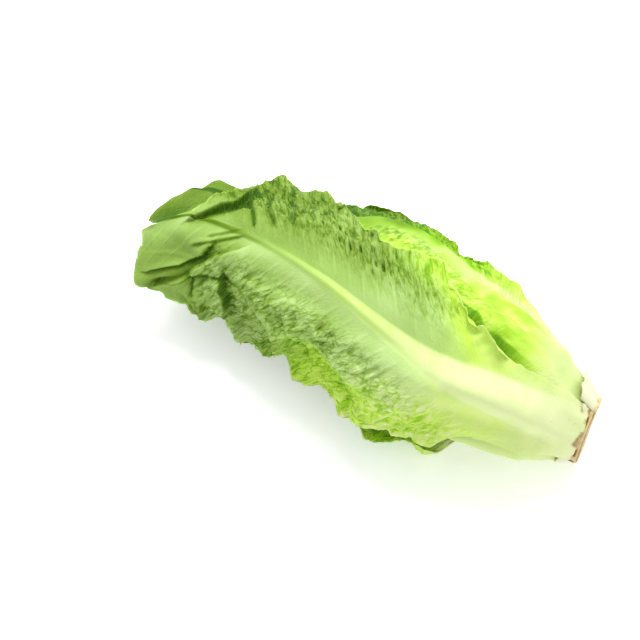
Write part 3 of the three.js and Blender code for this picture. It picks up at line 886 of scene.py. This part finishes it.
class Nodes:
    """A material's node tree, built by short calls."""

    def __init__(self, name):
        self.material = bpy.data.materials.new(name)
        self.material.use_nodes = True
        self.tree = self.material.node_tree
        self.tree.nodes.clear()

    def add(self, kind, inputs, output=0, **settings):
        """An output of a new node, whose inputs are linked to other outputs or set to plain values."""
        node = self.tree.nodes.new(kind)
        for setting, value in settings.items():
            setattr(node, setting, value)
        for socket, value in inputs.items():
            if isinstance(value, bpy.types.NodeSocket):
                self.tree.links.new(value, node.inputs[socket])
            else:
                node.inputs[socket].default_value = value
        return node.outputs[output]

    def measure(self, name, output="Fac"):
        return self.add("ShaderNodeAttribute", {}, output, attribute_name=name)

    def spot(self):
        return self.add("ShaderNodeTexCoord", {}, "Object")

    def ramp(self, factor, stops):
        node = self.tree.nodes.new("ShaderNodeValToRGB")
        elements = node.color_ramp.elements
        while len(elements) < len(stops):
            elements.new(0.5)
        for element, (position, colour) in zip(elements, stops):
            element.position = position
            element.color = colour
        self.tree.links.new(factor, node.inputs["Fac"])
        return node.outputs["Color"]

    def mix(self, factor, first, second):
        return self.add("ShaderNodeMix", {0: factor, 6: first, 7: second}, 2, data_type="RGBA")

    def math(self, operation, first, second, clamped=False):
        return self.add("ShaderNodeMath", {0: first, 1: second}, operation=operation, use_clamp=clamped)

    def times(self, first, second):
        return self.math("MULTIPLY", first, second)

    def vector_math(self, operation, first, second):
        return self.add("ShaderNodeVectorMath", {0: first, 1: second}, operation=operation)

    def scaled(self, vector, scale):
        return self.vector_math("MULTIPLY", vector, scale)

    def noise(self, vector, scale, detail):
        return self.add("ShaderNodeTexNoise", {"Vector": vector, "Scale": scale, "Detail": detail}, "Fac")

    def walls(self, vector):
        """The distance to the nearest wall between scattered cells."""
        inputs = {"Vector": vector, "Scale": 1.0}
        return self.add("ShaderNodeTexVoronoi", inputs, "Distance", feature="DISTANCE_TO_EDGE")

    def wandering_walls(self, vector, scale, slow_scale, wander):
        """The same for cells that a slower noise has bent out of line."""
        slow_inputs = {"Vector": self.scaled(vector, slow_scale), "Scale": 1.0}
        slow = self.add("ShaderNodeTexNoise", slow_inputs, "Color")
        return self.walls(self.vector_math("ADD", self.scaled(vector, scale), self.scaled(slow, wander)))

    def bump(self, height, distance, strength, **under):
        inputs = {"Height": height, "Distance": distance, "Strength": strength, **under}
        return self.add("ShaderNodeBump", inputs, "Normal")

    def surface(self, inputs):
        """Ends the tree in a shader with these inputs."""
        output = self.tree.nodes.new("ShaderNodeOutputMaterial")
        self.tree.links.new(self.add("ShaderNodeBsdfPrincipled", inputs, "BSDF"), output.inputs["Surface"])
        return self.material


def stops(*rows):
    return [(place, reflecting(*colour)) for place, *colour in rows]


# Greens for rising values of the measure called green. Past 255, they are brighter than the screen's white.
BLADE_GREENS = stops(
    (0.0, 256, 266, 206), (0.25, 218, 248, 166), (0.5, 174, 212, 108), (0.75, 130, 167, 46),
    (1.0, 66, 113, 0),
)
YOUNG_GREENS = stops((0.0, 258, 268, 196), (0.3, 222, 264, 94), (0.6, 168, 228, 30), (1.0, 82, 148, 0))
VEIN_GREEN = reflecting(214, 238, 150)
SCAR_BROWN = reflecting(176, 128, 74)
STEM_COLOURS = stops(
    (0.12, 250, 252, 206), (0.34, 244, 228, 170), (0.6, 222, 188, 124), (0.82, 180, 128, 66),
    (1.0, 120, 72, 32),
)
# How many cells the leaf's patterns have to a mm across the veins and along them.
STREAKS = (0.55, 0.05, 0.0)
PATCHES = (0.07, 0.06, 0.03)
NET = (0.5, 0.3, 0.0)
CRINKLES = dict(scale=(0.34, 0.18, 0.0), slow_scale=(0.2, 0.12, 0.0), wander=(0.7, 0.7, 0.0))
CRACKS = dict(scale=(0.21, 0.1, 0.0), slow_scale=(0.3, 0.3, 0.0), wander=(1.1, 0.8, 0.0))
MEAN_CRINKLE = 0.17


def leaf_material(name):
    """A fresh leaf with fine streaks, a net of veinlets, and painted shade in its crinkles, cracks and pits.
    """
    n = Nodes(name)
    place = n.measure("place", "Vector")
    crumpled = n.measure("crumpled")
    streaks = n.noise(n.scaled(place, STREAKS), 1.0, 3.0)
    patches = n.noise(n.scaled(place, PATCHES), 1.0, 3.0)
    net = n.walls(n.scaled(place, NET))
    beside_rib = n.math("SUBTRACT", 1.0, n.measure("rib"), True)
    veinlet = n.times(n.math("LESS_THAN", net, 0.05), beside_rib)

    # Where the blade is crumpled, painted shade darkens its crinkles in their middles and along thin cracks.
    crinkle = n.math("MINIMUM", n.wandering_walls(place, **CRINKLES), 0.32)
    crinkle_painted_shade = n.times(n.math("SUBTRACT", crinkle, MEAN_CRINKLE), n.times(crumpled, 0.6))
    crack_painted_shade = n.math("SUBTRACT", 1.0, n.times(n.wandering_walls(place, **CRACKS), 9.0), True)
    crinkle_painted_shade = n.math("ADD", crinkle_painted_shade, n.times(crack_painted_shade, n.times(crumpled, 0.3)))

    varied = n.math("ADD", n.measure("green"), n.times(n.math("SUBTRACT", patches, 0.5), 0.16))
    varied = n.math("ADD", varied, crinkle_painted_shade)
    # the painted shade of pits, wrinkles and creases makes the green deeper
    green_with_painted_shade = n.math("ADD", varied, n.times(n.math("SUBTRACT", n.measure("pit"), 0.5), 0.85))
    plain = n.math("SUBTRACT", 1.0, crumpled, True)
    streaked = n.times(n.math("SUBTRACT", streaks, 0.5), n.times(plain, 0.05))
    streaked = n.math("ADD", green_with_painted_shade, streaked, True)
    colour = n.mix(n.measure("yellow"), n.ramp(streaked, BLADE_GREENS), n.ramp(streaked, YOUNG_GREENS))
    veined = n.mix(n.times(veinlet, 0.1), colour, VEIN_GREEN)
    sunk = n.times(crinkle, n.times(crumpled, -1.0))
    netted = n.times(n.math("MINIMUM", net, 0.2), beside_rib)
    lined = n.times(streaks, plain)
    folded = n.bump(sunk, distance=0.0026, strength=0.8)
    fine = n.bump(netted, distance=0.0012, strength=0.4, Normal=folded)
    return n.surface({
        "Base Color": n.mix(n.measure("scar"), veined, SCAR_BROWN),
        "Roughness": n.math("ADD", 0.42, n.times(patches, 0.3)),
        "Specular IOR Level": 0.12,
        "Subsurface Weight": 0.15,
        "Subsurface Radius": (0.8, 1.0, 0.4),
        "Subsurface Scale": 0.0015,
        "Normal": n.bump(lined, distance=0.0005, strength=0.25, Normal=fine),
    })


def stem_material():
    """Pale stem, tan where it was cut and dark brown along the edges of the cut and of torn leaves."""
    n = Nodes("stem_flesh")
    spot = n.spot()
    scar = n.measure("scar")
    fibres = n.noise(n.scaled(spot, (60.0, 500.0, 500.0)), 1.0, 3.0)
    blotches = n.noise(spot, 190.0, 4.0)
    mottled = n.math("ADD", n.times(fibres, 0.35), n.times(blotches, 0.65))
    worn = n.math("ADD", scar, n.times(n.math("SUBTRACT", mottled, 0.5), 0.9), True)
    return n.surface({
        "Base Color": n.ramp(worn, STEM_COLOURS),
        "Roughness": n.math("ADD", 0.5, n.times(scar, 0.3)),
        "Subsurface Weight": 0.15,
        "Subsurface Radius": (1.0, 0.8, 0.4),
        "Subsurface Scale": 0.002,
        "Normal": n.bump(mottled, distance=0.0008, strength=0.6),
    })


def floor_material():
    """White paper that glows a little as if on a light table: painted light that lightens the head's shadow on
    it.
    """
    n = Nodes("floor_white")
    white = n.ramp(n.noise(n.spot(), 30.0, 2.0), [(0.3, linear(244, 246, 245)), (0.7, linear(248, 249, 248))])
    painted_glow = {"Emission Color": white, "Emission Strength": 0.3}
    return n.surface({"Base Color": white, "Roughness": 0.6, **painted_glow})


# -- the stem and the heart
def add_turned(name, node, profile, point_at, measures_at, material, sides):
    """A closed solid of rings round the head's axis. Its profile has each ring's s and part of the radius."""
    s = np.array([place for place, _ in profile])[:, None]
    part = np.array([part for _, part in profile])[:, None]
    phi = (360 * np.arange(sides) / sides)[None, :]
    s, part, phi = np.broadcast_arrays(s, part, phi)
    rings = point_at(s, part, phi).reshape(-1, 3)
    foot = rings[:sides].mean(0)
    top = rings[-sides:].mean(0)
    points = in_place(np.vstack([rings, foot, top]))
    at = np.arange(len(rings)).reshape(s.shape)
    after = np.roll(at, -1, axis=1)
    side_faces = np.stack([at[:-1], at[1:], after[1:], after[:-1]], -1).reshape(-1, 4)
    foot_faces = np.stack([np.full(sides, len(rings)), at[0], after[0]], -1)
    top_faces = np.stack([np.full(sides, len(rings) + 1), after[-1], at[-1]], -1)
    faces = side_faces.tolist() + foot_faces.tolist() + top_faces.tolist()
    measures = {
        measure: np.concatenate([values.reshape(-1, *values.shape[2:]), values[:1, 0], values[-1:, 0]])
        for measure, values in measures_at(s, part, phi).items()
    }
    add_piece(name, node, points, faces, measures, material)


CUT_TURNED_TO = 116  # the phi that the cut face is turned a little towards


def stem_radius(s, phi):
    inside = (inner_radius(s, phi) - TOUCHING_GAP) * (1 - 0.75 * rise(s, 52, STEM_LENGTH - 52))
    return np.where(s <= COLLAR_LENGTH, CUT_RADIUS, inside)


def rough_round(phi, count, seed):
    """Noise round the head that joins up with itself."""
    return noise(count * np.cos(phi * RAD), count * np.sin(phi * RAD), seed)


def stem_point(s, part, phi):
    """The stem was cut a little askew, and its collar is rough."""
    collar = 1 - smooth((s - COLLAR_LENGTH + 1) / 2)
    torn = 0.5 * rough_round(phi, 4, 61) + 0.35 * rough_round(phi, 11, 62)
    torn = torn + 0.25 * noise(phi / 7, s / 1.1, 63)
    radius = (stem_radius(s, phi) + collar * torn - 0.9 * (1 - smooth(s / 1.6))) * part
    pith = 0.5 * fall(part, 0.25, 0.2) + 0.35 * rough_round(phi, 5, 64) * (part < 0.97)
    sawn = np.where(s < 0.5, 0.5 * pith * (part < 0.99), 0)
    askew = 0.5 * (1 + part * np.cos((phi - CUT_TURNED_TO) * RAD)) * (1 - smooth(s / 9))
    return head_point(s + sawn + askew, radius, phi)


def stem_measures(s, part, phi):
    ragged = 1.1 * rough_round(phi, 5, 65) + 0.7 * rough_round(phi, 13, 66)
    rim = 1 - smooth((s - 0.2 - 0.15 * ragged) / 0.5)
    tears = smooth((rough_round(phi, 4, 67) + 0.5 * noise(phi / 9, s / 1.1, 68) - 0.15) / 0.4)
    tears = tears * rise(s, 1.2, 1.2) * (1 - smooth((s - 7 - ragged) / 1.5))
    side = np.clip(0.35 * rim + 0.6 * tears + 0.45, 0, 1)
    face = 0.5 + 0.4 * rise(part, 0.93, 0.05) + 0.12 * rough_round(phi, 3, 69)
    return {"scar": np.where(s < 0.25, face, side)}


def heart_point(s, part, phi):
    foot = lerp(0.25, 1, rise(s, HEART_BOTTOM, 18))
    top = lerp(1, 0.25, rise(s, 165, HEART_TOP - 165))
    folds = 0.7 * noise(s / 24, phi / 26, 71) * part
    return head_point(s, (inner_radius(s, phi) - HEART_GAP + folds) * foot * top, phi)


def heart_measures(s, part, phi):
    return dict(
        place=np.stack([s + 0.3 * phi, phi, s], -1), green=0.25 + 0.2 * rise(s, 120, 80), yellow=0.7 + 0 * s,
        rib=0 * s, pit=0.5 + 0.2 * noise(s / 9, phi / 12, 72), scar=0 * s, crumpled=0.3 + 0 * s,
    )


# -- the pieces
leaf_green = leaf_material("leaf_blade")
heart_green = leaf_material("heart_blade")
stem_flesh = stem_material()

for k, one in enumerate(FREE):
    node = f"leaf_{k + 1:02d}"
    look = look_with(seed=40 + 7 * k, **LOOKS.get(k, {}))
    add_leaf(f"{node}_blade", node, one, look, leaf_green, leaf_measures)

cut_face = [(0, part) for part in (0.06, 0.15, 0.25, 0.35, 0.45, 0.55, 0.65, 0.75, 0.85, 0.93, 0.98)]
collar = [(place, 1) for place in (0.3, 0.8, 1.4, 2, 2.8, 3.6, 4.4, 5, 5.6, 6.2, 7, 8, 10)]
hidden = [(place, 1) for place in (14, 20, 28, 36, 44, 50, 54, 58, 62, STEM_LENGTH)]
stem_rings = cut_face + collar + hidden
add_turned("stem_cut", "stem", stem_rings, stem_point, stem_measures, stem_flesh, sides=180)
STUB_LOOK = look_with(
    rows=30, columns=40, seed=90, overlap=1.1, buckle=0.2, curl_turn=(0, 0), ruffle=(0, 0), teeth=1.2,
)
for number, one in enumerate(STUBS):
    add_leaf(f"stub_{number + 1}", "stem", one, STUB_LOOK, stem_flesh, stub_measures)

heart_rings = [(place, 1) for place in np.linspace(HEART_BOTTOM, HEART_TOP, num=60)]
add_turned("heart_core", "heart", heart_rings, heart_point, heart_measures, heart_green, sides=90)
HEART_LOOK = look_with(rows=60, columns=44, seed=120, green=(constant(0.7), constant(0.7)))
for number, one in enumerate(IN_HEART):
    add_leaf(f"heart_leaf_{number + 1}", "heart", one, HEART_LOOK, heart_green, leaf_measures)


# -- floor, light and camera
FLOOR_HALF = 8.0  # metres


def add_looking(name, data, azimuth, elevation, distance, target):
    """A camera or lamp that looks at the target, in metres. Azimuths are from in front of the head's side."""
    a = azimuth * RAD
    e = elevation * RAD
    back = np.array([math.sin(a) * math.cos(e), -math.cos(a) * math.cos(e), math.sin(e)])
    right = np.array([math.cos(a), math.sin(a), 0])
    turned = np.column_stack([right, np.cross(back, right), back, target + distance * back])
    looking = add_object(name, data)
    looking.matrix_world = Matrix(turned.tolist() + [[0, 0, 0, 1]])
    return looking


corners = [(x * FLOOR_HALF, y * FLOOR_HALF, 0) for x, y in ((-1, -1), (1, -1), (1, 1), (-1, 1))]
floor_mesh = bpy.data.meshes.new("floor")
floor_mesh.from_pydata(corners, [], [(0, 1, 2, 3)])
floor_mesh.materials.append(floor_material())
floor = add_object("floor", floor_mesh)

world = bpy.data.worlds.new("studio")
world.use_nodes = True
background = world.node_tree.nodes["Background"]
background.inputs["Color"].default_value = (1, 1, 1, 1)
background.inputs["Strength"].default_value = 0.92
bpy.context.scene.world = world

camera = bpy.data.cameras.new("camera")
camera.lens = 85
camera.sensor_width = 36
target = np.array([-25.4, -11.5, 36.5]) * MM
bpy.context.scene.camera = add_looking(
    "camera", camera, azimuth=24.03, elevation=61, distance=894.0 * MM, target=target,
)

lamp = bpy.data.lights.new("key", "AREA")
lamp.shape = "DISK"
lamp.size = 0.9
lamp.energy = 24
add_looking("key", lamp, azimuth=195, elevation=60, distance=1.6, target=np.zeros(3))
bpy.context.scene.view_settings.view_transform = "Standard"
